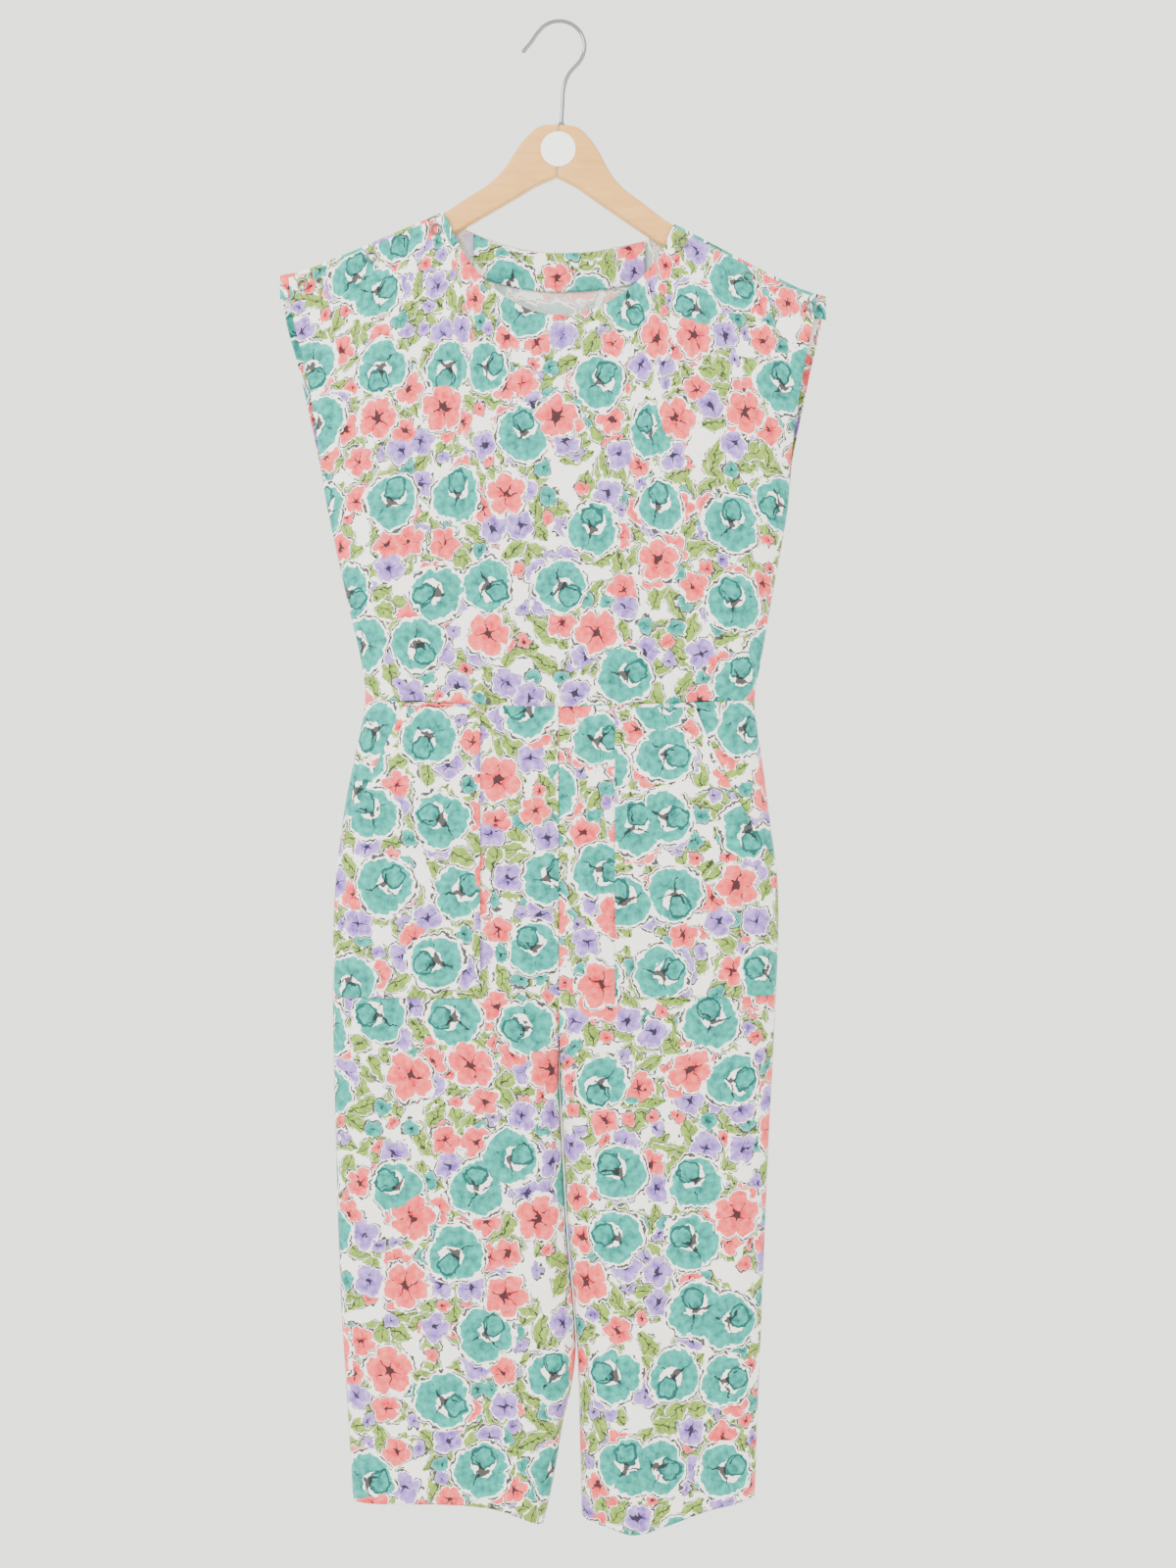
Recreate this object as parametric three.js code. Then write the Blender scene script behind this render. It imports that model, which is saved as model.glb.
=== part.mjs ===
// A floral sleeveless romper with calf-length legs, hung on a wooden hanger.
// Millimetres, +Z up, front towards -Y. The origin is the inner crown of the hanger's hook.
// Left and right are the wearer's, so the right side lies on -X.
import * as THREE from 'three';

// ---- driving dimensions ----
const CLOTH = 1.2;            // thickness of the cotton walls
const GAP = 0.3;              // clearance at seams and on the wood
const TRIM_LIFT = 1.35;       // clearance of pockets and facing over a rounded panel
const NECK_HALF = 104;        // half width of the neck opening at the shoulder
const STRAP_SHOWS = 5;        // the strip of shoulder extension seen above the front's edge
const EXTENSION_DROP = 22;    // how far the shoulder extension reaches under the front
const ARMHOLE_END = -440;     // where the side seam begins
const ARMHOLE_INSET = 8;      // the back's turned edge shows this far outside the front's
const WAIST = -614;
const WAIST_SAG = 5;          // the waist seam's dip at the centre front
const CURL_START = -895;      // where the centre seams begin to turn under
const CROTCH = -960;
const SIDE_ROUND = 0.2;       // share of the half width that rounds to the side seam
const LEG_ROUND = 0.16;       // share of a leg's width that rounds to the inseam

// Hanger, in its own upright frame, before it tilts on the hook.
const WOOD_THICK = 12;
const WOOD_BEVEL = 3;
const WOOD_REACH = 222;       // from the centre joint to an arm's end
const WOOD_TILT = THREE.MathUtils.degToRad(2.2);
const WOOD_CROWN = -93;       // top of the wood, where the hook enters
const ARM_PROFILE = [         // x: distance from the centre joint, top and bottom: the wood's edges
  { x: 0, top: -93, bottom: -140 },
  { x: 17, top: -95, bottom: -148 },
  { x: 28, top: -104, bottom: -155 },
  { x: 37, top: -116, bottom: -161 },
  { x: 45, top: -130, bottom: -166 },
  { x: 53, top: -141, bottom: -171 },
  { x: 64, top: -151, bottom: -178 },
  { x: 80, top: -162, bottom: -188 },
  { x: 104, top: -178.5, bottom: -202 },
  { x: 150, top: -200.5, bottom: -223 },
  { x: 180, top: -215, bottom: -237 },
  { x: 212, top: -229.5, bottom: -250 },
  { x: 222, top: -234, bottom: -246 },
];
const SHOULDER_TIP = { x: 247, z: -240 };   // the cloth's reach beyond the arm's end
const FOLD_AT_TIP = 2.7;      // half depth of the folded cloth there
const BADGE_RADIUS = 15.7;
const BADGE_Z = -116;
const WIRE_RADIUS = 1.8;
const HOOK_RADIUS = 23;

// The silhouette from the shoulder tips to the hems: x of each side at height z.
const OUTLINE = [
  { z: -232, right: -253, left: 243 },
  { z: -268, right: -249, left: 238 },
  { z: -311, right: -238, left: 229 },
  { z: -358, right: -227, left: 219 },
  { z: -399, right: -218, left: 211 },
  { z: -446, right: -209, left: 206 },
  { z: -529, right: -191, left: 191 },
  { z: -576, right: -180, left: 183 },
  { z: -614, right: -176, left: 177 },
  { z: -663, right: -185, left: 183 },
  { z: -715, right: -195, left: 190 },
  { z: -787, right: -203, left: 198 },
  { z: -882, right: -205, left: 196 },
  { z: -1023, right: -202, left: 189 },
  { z: -1149, right: -198, left: 184 },
  { z: -1248, right: -192, left: 180 },
  { z: -1365, right: -185, left: 176 },
];
// The inner edges of the legs; the right leg swings across the centre before they part.
const INSEAM = [
  { z: -960, right: -0.15, left: 0.15 },
  { z: -1006, right: 2, left: 2.8 },
  { z: -1096, right: 7, left: 7.8 },
  { z: -1149, right: 12, left: 12.8 },
  { z: -1194, right: 15, left: 15.8 },
  { z: -1214, right: 14, left: 17 },
  { z: -1239, right: 10, left: 17.7 },
  { z: -1263, right: 4, left: 18.3 },
  { z: -1293, right: -1, left: 19 },
  { z: -1331, right: -8, left: 20 },
  { z: -1365, right: -16, left: 20 },
];
// How far the cloth stands in front of the side seams and behind them.
const DEPTHS = [
  { z: -180, front: 13, back: 12 },
  { z: -300, front: 17, back: 13 },
  { z: -400, front: 21, back: 14 },
  { z: -500, front: 24, back: 14 },
  { z: -614, front: 22, back: 13 },
  { z: -700, front: 28, back: 17 },
  { z: -860, front: 28, back: 18 },
  { z: -960, front: 25, back: 18 },
  { z: -1150, front: 21, back: 19 },
  { z: -1365, front: 20, back: 20 },
];
// Hem height across each leg, from the side seam to the inseam.
const HEMS = [
  { share: 0, right: -1336, left: -1333 },
  { share: 0.25, right: -1335, left: -1340 },
  { share: 0.5, right: -1334, left: -1353 },
  { share: 0.7, right: -1338, left: -1360 },
  { share: 0.85, right: -1346, left: -1354 },
  { share: 1, right: -1357, left: -1349 },
];
// The largest folds: a soft ridge (or trough, when rise is negative) along a line.
const FRONT_FOLDS = [
  { x0: -222, z0: -264, x1: -140, z1: -240, width: 14, rise: -2.5 },
  { x0: 212, z0: -276, x1: 140, z1: -250, width: 14, rise: -2.5 },
  { x0: -150, z0: -330, x1: -120, z1: -560, width: 26, rise: 3 },
  { x0: 120, z0: -350, x1: 140, z1: -570, width: 26, rise: 3 },
  { x0: 109, z0: -650, x1: 109, z1: -900, width: 16, rise: 2.5 },
  { x0: 66, z0: -1120, x1: 68, z1: -1400, width: 30, rise: 11 },
  { x0: -110, z0: -1000, x1: -100, z1: -1400, width: 34, rise: 4 },
];
const BACK_FOLDS = [
  { x0: -60, z0: -240, x1: -40, z1: -600, width: 30, rise: 4 },
  { x0: 70, z0: -260, x1: 55, z1: -600, width: 30, rise: 4 },
  { x0: -100, z0: -640, x1: -95, z1: -1400, width: 34, rise: 5 },
  { x0: 100, z0: -640, x1: 95, z1: -1400, width: 34, rise: 5 },
];
// Patch pockets: inner edge, foot and the slanted mouth's x at height z.
const POCKETS = {
  right: { edge: -70, foot: -880, mouth: [[-618, -139], [-658, -157], [-700, -176], [-745, -199]] },
  left: { edge: 50, foot: -879, mouth: [[-618, 121], [-650, 134], [-700, 158], [-755, 192]] },
};
// Ring snaps along each shoulder, as x on the front.
const SNAPS = { right: [-111, -169, -231], left: [111, 170, 227] };
const SNAP_DROP = 15;         // from the shoulder's fold to a ring's centre
const SNAP_RADIUS = 4.4;
const SNAP_WIRE = 0.9;

// ---- materials ----
const cotton = new THREE.MeshStandardMaterial({ color: 0xf3efe6, roughness: 0.9 });
const wood = new THREE.MeshStandardMaterial({ color: 0xf7cf9c, roughness: 0.45 });
const chrome = new THREE.MeshStandardMaterial({ color: 0xd8dadc, roughness: 0.15, metalness: 1 });
const paper = new THREE.MeshStandardMaterial({ color: 0xfdfdfb, roughness: 0.6 });

// ---- small mathematics ----
const lerp = THREE.MathUtils.lerp;
const clamp = THREE.MathUtils.clamp;

function smooth(from, to, value) {
  const t = clamp((value - from) / (to - from), 0, 1);
  return t * t * (3 - 2 * t);
}

// Value of a table's column at a key, on a smooth curve through its rows.
function along(rows, keyName, column, key) {
  const ascending = rows[1][keyName] > rows[0][keyName];
  const past = (row) => (ascending ? row[keyName] > key : row[keyName] < key);
  let i = rows.findIndex(past) - 1;
  if (i === -2) i = rows.length - 2;
  i = Math.max(i, 0);
  const [a, b] = [rows[i], rows[i + 1]];
  const [before, after] = [rows[Math.max(i - 1, 0)], rows[Math.min(i + 2, rows.length - 1)]];
  const span = b[keyName] - a[keyName];
  const t = clamp((key - a[keyName]) / span, 0, 1);
  const slopeA = (b[column] - before[column]) / (b[keyName] - before[keyName]);
  const slopeB = (after[column] - a[column]) / (after[keyName] - a[keyName]);
  const t2 = t * t;
  const t3 = t2 * t;
  return (2 * t3 - 3 * t2 + 1) * a[column] + (t3 - 2 * t2 + t) * slopeA * span
    + (3 * t2 - 2 * t3) * b[column] + (t3 - t2) * slopeB * span;
}

// Value between rows joined by straight lines; pairs are [key, value] in falling or rising order.
function straight(pairs, key) {
  const ascending = pairs[1][0] > pairs[0][0];
  let i = pairs.findIndex(([k]) => (ascending ? k > key : k < key)) - 1;
  if (i === -2) i = pairs.length - 2;
  i = Math.max(i, 0);
  const t = (key - pairs[i][0]) / (pairs[i + 1][0] - pairs[i][0]);
  return lerp(pairs[i][1], pairs[i + 1][1], clamp(t, 0, 1));
}

// ---- cloth walls ----
// Unit normals of a grid of points, all turned to the side of the inward hint at its middle.
function normals(grid, inward) {
  const rows = grid.length;
  const columns = grid[0].length;
  const result = grid.map((row, j) => row.map((point, i) => {
    const across = grid[j][Math.min(i + 1, columns - 1)].clone().sub(grid[j][Math.max(i - 1, 0)]);
    const down = grid[Math.min(j + 1, rows - 1)][i].clone().sub(grid[Math.max(j - 1, 0)][i]);
    return across.cross(down).normalize();
  }));
  const middle = result[Math.floor(rows / 2)][Math.floor(columns / 2)];
  if (middle.dot(inward) < 0) result.forEach((row) => row.forEach((n) => n.negate()));
  return result;
}

// A grid moved along its own normals, away from the inward side.
function lifted(grid, distance, inward) {
  const sides = normals(grid, inward);
  return grid.map((row, j) => row.map((p, i) => p.clone().addScaledVector(sides[j][i], -distance)));
}

// A closed wall behind a grid of outer points. A pin names the axes along which a border's
// thickness may not lean, so that two pieces stay apart at their seam.
function wall(grid, inward, pins = {}) {
  const rows = grid.length;
  const columns = grid[0].length;
  const sides = normals(grid, inward);
  const pin = (normal, axes) => {
    for (const axis of axes) normal[axis] = 0;
    normal.normalize();
  };
  const axesAt = (name, index) => (typeof pins[name] === 'function' ? pins[name](index) : pins[name] ?? '');
  for (let j = 0; j < rows; j += 1) {
    pin(sides[j][0], axesAt('start', j));
    pin(sides[j][columns - 1], axesAt('end', j));
  }
  for (let i = 0; i < columns; i += 1) {
    pin(sides[0][i], axesAt('top', i));
    pin(sides[rows - 1][i], axesAt('bottom', i));
  }
  const positions = [];
  for (const row of grid) for (const p of row) positions.push(p.x, p.y, p.z);
  grid.forEach((row, j) => row.forEach((p, i) => {
    const q = p.clone().addScaledVector(sides[j][i], CLOTH);
    positions.push(q.x, q.y, q.z);
  }));
  const outer = (j, i) => j * columns + i;
  const inner = (j, i) => rows * columns + outer(j, i);
  const faces = [];
  const quad = (a, b, c, d) => faces.push(a, b, c, a, c, d);
  for (let j = 0; j < rows - 1; j += 1) {
    for (let i = 0; i < columns - 1; i += 1) {
      quad(outer(j, i), outer(j, i + 1), outer(j + 1, i + 1), outer(j + 1, i));
      quad(inner(j, i), inner(j + 1, i), inner(j + 1, i + 1), inner(j, i + 1));
    }
  }
  for (let i = 0; i < columns - 1; i += 1) {
    quad(inner(0, i), inner(0, i + 1), outer(0, i + 1), outer(0, i));
    quad(outer(rows - 1, i), outer(rows - 1, i + 1), inner(rows - 1, i + 1), inner(rows - 1, i));
  }
  for (let j = 0; j < rows - 1; j += 1) {
    quad(inner(j, 0), outer(j, 0), outer(j + 1, 0), inner(j + 1, 0));
    quad(outer(j, columns - 1), inner(j, columns - 1), inner(j + 1, columns - 1), outer(j + 1, columns - 1));
  }
  return outwardGeometry(positions, faces);
}

// Indexed geometry whose faces point out, whichever way the grid ran.
function outwardGeometry(positions, faces) {
  const corner = (index) => new THREE.Vector3().fromArray(positions, index * 3);
  let volume = 0;
  for (let k = 0; k < faces.length; k += 3) {
    volume += corner(faces[k]).dot(corner(faces[k + 1]).cross(corner(faces[k + 2])));
  }
  if (volume < 0) {
    for (let k = 0; k < faces.length; k += 3) {
      [faces[k + 1], faces[k + 2]] = [faces[k + 2], faces[k + 1]];
    }
  }
  const geometry = new THREE.BufferGeometry();
  geometry.setAttribute('position', new THREE.Float32BufferAttribute(positions, 3));
  geometry.setIndex(faces);
  geometry.computeVertexNormals();
  return geometry;
}

// A grid of points from a rule of two shares, each running from 0 to 1.
function gridOf(rowShares, columnShares, rule) {
  return rowShares.map((down) => columnShares.map((across) => rule(across, down)));
}

const evenShares = (count) => Array.from({ length: count + 1 }, (_, i) => i / count);
const endShares = (count) => evenShares(count).map((t) => (1 - Math.cos(Math.PI * t)) / 2);

const IN_FROM_FRONT = new THREE.Vector3(0, 1, 0);
const IN_FROM_BACK = new THREE.Vector3(0, -1, 0);

// ---- the garment's shape ----
// The wood's upper edge after the tilt, and the cloth's droop beyond it, as [x, z] pairs.
function tilted(x, z) {
  const drop = z - WOOD_CROWN;
  return [x * Math.cos(WOOD_TILT) + drop * Math.sin(WOOD_TILT),
    WOOD_CROWN - x * Math.sin(WOOD_TILT) + drop * Math.cos(WOOD_TILT)];
}

const halfRidge = [...ARM_PROFILE.map((row) => [row.x, row.top]), [SHOULDER_TIP.x, SHOULDER_TIP.z]];
const RIDGE = [...halfRidge.slice(1).reverse().map(([x, z]) => tilted(-x, z)),
  ...halfRidge.map(([x, z]) => tilted(x, z))];
const ARM_END = { right: -RIDGE[1][0], left: RIDGE[RIDGE.length - 2][0] };
const TIP_REACH = { right: -RIDGE[0][0], left: RIDGE[RIDGE.length - 1][0] };
const sideOf = (x) => (x < 0 ? 'right' : 'left');

// Top of the folded cloth over the arm, and half its outer depth, at x.
const foldTop = (x) => straight(RIDGE, x) + 2 * GAP + CLOTH;
const foldHalf = (x) => {
  const side = sideOf(x);
  const onWood = WOOD_THICK / 2 + GAP + CLOTH;
  return straight([[ARM_END[side], onWood], [TIP_REACH[side], FOLD_AT_TIP]], Math.abs(x));
};

// Sum of the soft ridges and troughs at a place.
function foldRise(folds, x, z) {
  let rise = 0;
  for (const fold of folds) {
    const run = new THREE.Vector2(fold.x1 - fold.x0, fold.z1 - fold.z0);
    const place = new THREE.Vector2(x - fold.x0, z - fold.z0);
    const share = clamp(place.dot(run) / run.lengthSq(), 0, 1);
    const distance = place.addScaledVector(run, -share).length() / fold.width;
    const fade = Math.sin(Math.PI * lerp(0.08, 0.92, share));
    rise += fold.rise * fade * Math.exp(-distance * distance);
  }
  return rise;
}

const edgeAt = (side, z) => along(OUTLINE, 'z', side, z);
const waistAt = (x) => WAIST - WAIST_SAG * Math.cos((Math.PI / 2) * Math.min(Math.abs(x) / 176, 1));

// Profile of the body from the side seam (share 0) to the centre (share 1).
function sideRound(share) {
  const t = Math.min(share / SIDE_ROUND, 1);
  return Math.sqrt(1 - (1 - t) ** 2) * (0.82 + 0.18 * Math.sin((Math.PI / 2) * share));
}

// The bodice's side at height z; the front's armhole edge stays inside the back's.
function bodiceEdge(face, side, z) {
  const inset = face === 'front' ? ARMHOLE_INSET * smooth(ARMHOLE_END, -300, z) : 0;
  const edge = edgeAt(side, z);
  return edge - Math.sign(edge) * inset;
}

// A point of the bodice; face is 'front' or 'back', share runs from the side to the centre.
function bodicePoint(face, side, share, z) {
  const armhole = smooth(ARMHOLE_END, -300, z);
  const x = bodiceEdge(face, side, z) * (1 - share);
  const folds = face === 'front' ? FRONT_FOLDS : BACK_FOLDS;
  const rounding = sideRound(share);
  const lip = lerp(GAP / 2, face === 'front' ? 9 : 7.5, armhole);
  const body = lip + (along(DEPTHS, 'z', face, z) - lip) * rounding + foldRise(folds, x, z) * rounding;
  const onFold = foldHalf(x) + (face === 'front' ? 2 * GAP + CLOTH : 0);
  const depth = lerp(onFold, body, smooth(26, 110, foldTop(x) - z));
  return new THREE.Vector3(x, face === 'front' ? -depth : depth, z);
}

// Upper edges of the bodice. The neckline falls from the neck points to its lowest point.
function frontTop(x) {
  const q = Math.abs(x) / (NECK_HALF - 2);
  if (q >= 1) return foldTop(x) - STRAP_SHOWS;
  const low = -268;
  const rise = foldTop(Math.sign(x || 1) * (NECK_HALF - 2)) - STRAP_SHOWS - low;
  return low + rise * (0.78 * q ** 2 + 0.22 * q ** 8);
}

const foldCorner = (x) => Math.min(4.5, 0.85 * foldHalf(x));

function backTop(x) {
  const q = Math.abs(x) / NECK_HALF;
  const atShoulder = (place) => foldTop(place) - foldCorner(place) - GAP;
  if (q >= 1) return atShoulder(x);
  return lerp(-205, atShoulder(Math.sign(x || 1) * NECK_HALF), q ** 2);
}

// Places across the shoulders' height: tip, arm's end, neck, then the other side.
function bodiceColumns(face, tipSteps, shoulderSteps, neckSteps) {
  const half = (side) => {
    const tip = Math.abs(bodiceEdge(face, side, SHOULDER_TIP.z));
    const outer = evenShares(tipSteps).slice(0, -1).map((t) => lerp(tip, ARM_END[side], t));
    return [...outer, ...evenShares(shoulderSteps).map((t) => lerp(ARM_END[side], NECK_HALF, t))];
  };
  const neck = evenShares(neckSteps).slice(1, -1).map((t) => -NECK_HALF * Math.cos(Math.PI * t));
  return [...half('right').map((x) => -x), ...neck, ...half('left').reverse()];
}

function bodice(face, rowCount) {
  const top = face === 'front' ? frontTop : backTop;
  const grid = gridOf(evenShares(rowCount), bodiceColumns(face, 2, 5, 10), (x, down) => {
    const side = sideOf(x);
    const z = lerp(top(x), waistAt(x) + GAP / 2, down ** 1.15);
    return bodicePoint(face, side, Math.max(1 - x / bodiceEdge(face, side, top(x)), 0), z);
  });
  const pins = { start: 'y', end: 'y', bottom: 'z' };
  if (face === 'back') pins.top = 'z';
  return wall(grid, face === 'front' ? IN_FROM_FRONT : IN_FROM_BACK, pins);
}

// The strip that carries the snaps' lower halves: over the arm and down under the front.
function shoulderExtension(direction) {
  const side = sideOf(direction);
  const sectionAt = (x) => {
    const half = foldHalf(x);
    const top = foldTop(x);
    const corner = foldCorner(x);
    const slope = corner * (1 - Math.SQRT1_2);
    return [[-half, top - EXTENSION_DROP], [-half, top - EXTENSION_DROP / 2], [-half, top - corner],
      [-half + slope, top - slope], [-half + corner, top], [half - corner, top],
      [half - slope, top - slope], [half, top - corner]];
  };
  const reaches = [...evenShares(5).map((t) => lerp(NECK_HALF, ARM_END[side], t)),
    (ARM_END[side] + TIP_REACH[side]) / 2, TIP_REACH[side]];
  const grid = sectionAt(0).map((_, row) => reaches.map((reach) => {
    const [y, z] = sectionAt(direction * reach)[row];
    return new THREE.Vector3(direction * reach, y, z);
  }));
  return wall(grid, new THREE.Vector3(0, 0, -1), { top: 'x', bottom: 'xz' });
}

// The facing inside the back neck, made from the back's own inner face.
function neckFacing() {
  const reach = 78;
  const depth = 35;
  const grid = gridOf(evenShares(3), evenShares(12), (across, down) => {
    const x = lerp(-reach, reach, across);
    const z = backTop(x) - 1.5 - depth * down;
    const side = sideOf(x);
    const share = 1 - Math.abs(x) / Math.abs(edgeAt(side, z));
    const point = bodicePoint('back', side, share, z);
    return point.setY(point.y - CLOTH - TRIM_LIFT);
  });
  return wall(grid, IN_FROM_BACK);
}

// A point of a trouser panel: share 0 is the side seam, 1 the centre seam or the inseam.
function trouserPoint(face, side, share, z) {
  const curl = smooth(CURL_START, CROTCH, z);
  const sign = side === 'right' ? -1 : 1;
  const inner = z > CROTCH ? sign * (GAP / 2) : along(INSEAM, 'z', side, z);
  const x = lerp(edgeAt(side, z), inner, share);
  const t = Math.min((1 - share) / LEG_ROUND, 1);
  const closing = lerp(1, Math.sqrt(1 - (1 - t) ** 2), curl);
  const rounding = sideRound(share) * closing;
  const folds = face === 'front' ? FRONT_FOLDS : BACK_FOLDS;
  const valley = 3 * smooth(WAIST, WAIST - 60, z) * Math.exp(-((x / 9) ** 2)) * (1 - curl);
  const full = along(DEPTHS, 'z', face, z) - GAP / 2 + foldRise(folds, x, z) - valley;
  const depth = GAP / 2 + full * rounding;
  return new THREE.Vector3(x, face === 'front' ? -depth : depth, z);
}

const hemAt = (side, share) => along(HEMS, 'share', side, share);
const RISE_STEPS = 9;
const LEG_STEPS = 9;

function trouserPanel(face, side) {
  const rise = evenShares(RISE_STEPS).map((t) => ({ leg: false, t: t ** 0.85 }));
  const leg = evenShares(LEG_STEPS).slice(1).map((t) => ({ leg: true, t }));
  const grid = gridOf([...rise, ...leg], endShares(11), (share, row) => {
    const x = edgeAt(side, WAIST) * (1 - share);
    const z = row.leg ? lerp(CROTCH, hemAt(side, share), row.t)
      : lerp(waistAt(x) - GAP / 2, CROTCH, row.t);
    return trouserPoint(face, side, share, z);
  });
  const centre = (row) => {
    const z = grid[row][grid[row].length - 1].z;
    if (z > CURL_START) return 'x';
    return z > CROTCH + GAP ? '' : 'y';
  };
  const pins = { start: 'y', end: centre, top: 'z', bottom: 'z' };
  return wall(grid, face === 'front' ? IN_FROM_FRONT : IN_FROM_BACK, pins);
}

// A patch pocket: from the waist seam, along its slanted mouth, to the side seam and its foot.
function pocket(side) {
  const { edge, foot, mouth } = POCKETS[side];
  const mouthEnd = mouth[mouth.length - 1][0];
  const columns = evenShares(10).map((t) => t ** 1.8);
  const grid = gridOf(evenShares(16), columns, (across, down) => {
    const z = lerp(waistAt(edge) - 2, foot, down);
    const seam = Math.abs(edgeAt(side, z));
    const outer = z > mouthEnd ? Math.abs(straight(mouth, z)) : seam;
    const reach = lerp(Math.min(outer, seam), Math.abs(edge), across);
    return trouserPoint('front', side, 1 - reach / seam, z);
  });
  const outerFace = lifted(grid, TRIM_LIFT + CLOTH, IN_FROM_FRONT);
  return wall(outerFace, IN_FROM_FRONT, { start: 'y' });
}

function ringSnap(x) {
  const side = sideOf(x);
  const place = (dx, dz) => {
    const z = foldTop(x) - SNAP_DROP + dz;
    return bodicePoint('front', side, 1 - (x + dx) / bodiceEdge('front', side, z), z);
  };
  const across = place(SNAP_RADIUS, 0).sub(place(-SNAP_RADIUS, 0));
  const up = place(0, SNAP_RADIUS).sub(place(0, -SNAP_RADIUS));
  const facing = across.cross(up).normalize();
  const geometry = new THREE.TorusGeometry(SNAP_RADIUS, SNAP_WIRE, 6, 12);
  geometry.applyQuaternion(new THREE.Quaternion().setFromUnitVectors(new THREE.Vector3(0, 0, 1), facing));
  const seat = place(0, 0).addScaledVector(facing, 2 * GAP + SNAP_WIRE);
  return geometry.translate(seat.x, seat.y, seat.z);
}

// ---- the hanger ----
function woodenArm(direction) {
  const outline = [];
  for (const row of ARM_PROFILE) outline.push([Math.max(row.x, GAP / 2), row.top]);
  for (const row of [...ARM_PROFILE].reverse()) outline.push([Math.max(row.x, GAP / 2), row.bottom]);
  const shape = new THREE.Shape(outline.map(([x, z]) => new THREE.Vector2(direction * x, z)));
  const geometry = new THREE.ExtrudeGeometry(shape, {
    depth: WOOD_THICK - 2 * WOOD_BEVEL,
    bevelThickness: WOOD_BEVEL,
    bevelSize: WOOD_BEVEL,
    bevelOffset: -WOOD_BEVEL,
    bevelSegments: 2,
  });
  geometry.translate(0, -WOOD_CROWN, -WOOD_THICK / 2 + WOOD_BEVEL);
  geometry.rotateX(Math.PI / 2);
  return geometry;
}

function hookWire() {
  const centre = new THREE.Vector3(0, 0, WIRE_RADIUS - HOOK_RADIUS);
  const points = [new THREE.Vector3(-32, 0, -25), new THREE.Vector3(-26, 0, -18)];
  for (let degrees = 145; degrees >= -30; degrees -= 25) {
    const angle = THREE.MathUtils.degToRad(degrees);
    points.push(new THREE.Vector3(Math.cos(angle), 0, Math.sin(angle)).multiplyScalar(HOOK_RADIUS).add(centre));
  }
  points.push(new THREE.Vector3(9, 0, -46), new THREE.Vector3(4.5, 0, -57),
    new THREE.Vector3(3, 0, -74), new THREE.Vector3(2, 0, WOOD_CROWN + GAP));
  const section = new THREE.Shape().absarc(0, 0, WIRE_RADIUS, 0, 2 * Math.PI);
  return new THREE.ExtrudeGeometry(section, {
    curveSegments: 4, steps: 44, bevelEnabled: false, extrudePath: new THREE.CatmullRomCurve3(points),
  });
}

function badge() {
  const thickness = 0.8;
  const geometry = new THREE.CylinderGeometry(BADGE_RADIUS, BADGE_RADIUS, thickness, 28);
  geometry.translate(0, -WOOD_THICK / 2 - GAP - thickness / 2, BADGE_Z - WOOD_CROWN);
  return geometry;
}

// ---- assembly ----
const romper = new THREE.Group();

function add(parent, name, geometry, material) {
  const mesh = new THREE.Mesh(geometry, material);
  mesh.name = name;
  parent.add(mesh);
}

add(romper, 'bodice_front', bodice('front', 13), cotton);
add(romper, 'bodice_back', bodice('back', 13), cotton);
add(romper, 'back_neck_facing', neckFacing(), cotton);
for (const [side, direction] of [['right', -1], ['left', 1]]) {
  add(romper, `shoulder_extension_${side}`, shoulderExtension(direction), cotton);
  add(romper, `trouser_front_${side}`, trouserPanel('front', side), cotton);
  add(romper, `trouser_back_${side}`, trouserPanel('back', side), cotton);
  add(romper, `pocket_${side}`, pocket(side), cotton);
  SNAPS[side].forEach((x, i) => add(romper, `snap_${side}_${i + 1}`, ringSnap(x), chrome));
}

const hanger = new THREE.Group();
hanger.position.z = WOOD_CROWN;
hanger.rotation.y = WOOD_TILT;
add(hanger, 'hanger_arm_right', woodenArm(-1), wood);
add(hanger, 'hanger_arm_left', woodenArm(1), wood);
add(hanger, 'hanger_badge', badge(), paper);
romper.add(hanger);
add(romper, 'hanger_hook', hookWire(), chrome);

export default romper;
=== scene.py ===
import math
import bmesh
import bpy
from mathutils import Matrix, Vector, noise


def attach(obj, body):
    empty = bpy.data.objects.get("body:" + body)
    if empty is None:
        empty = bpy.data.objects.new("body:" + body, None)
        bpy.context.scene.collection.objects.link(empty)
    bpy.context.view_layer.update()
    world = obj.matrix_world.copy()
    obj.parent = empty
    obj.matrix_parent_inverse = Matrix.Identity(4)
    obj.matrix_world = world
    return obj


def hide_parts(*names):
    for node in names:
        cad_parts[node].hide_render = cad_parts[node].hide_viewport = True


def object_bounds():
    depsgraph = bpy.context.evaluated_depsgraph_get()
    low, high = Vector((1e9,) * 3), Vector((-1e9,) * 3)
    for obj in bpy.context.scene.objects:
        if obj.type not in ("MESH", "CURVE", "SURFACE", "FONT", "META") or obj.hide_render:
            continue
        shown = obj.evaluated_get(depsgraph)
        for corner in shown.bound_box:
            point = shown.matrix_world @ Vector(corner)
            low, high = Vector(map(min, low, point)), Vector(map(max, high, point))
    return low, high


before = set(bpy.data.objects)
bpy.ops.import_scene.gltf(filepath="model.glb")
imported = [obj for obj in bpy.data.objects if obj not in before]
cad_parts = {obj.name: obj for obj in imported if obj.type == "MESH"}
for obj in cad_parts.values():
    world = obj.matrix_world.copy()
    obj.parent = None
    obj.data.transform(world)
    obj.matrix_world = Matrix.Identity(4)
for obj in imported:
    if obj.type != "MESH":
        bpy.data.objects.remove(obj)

cad_box = [list(corner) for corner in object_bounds()]
MM = 0.001

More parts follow.
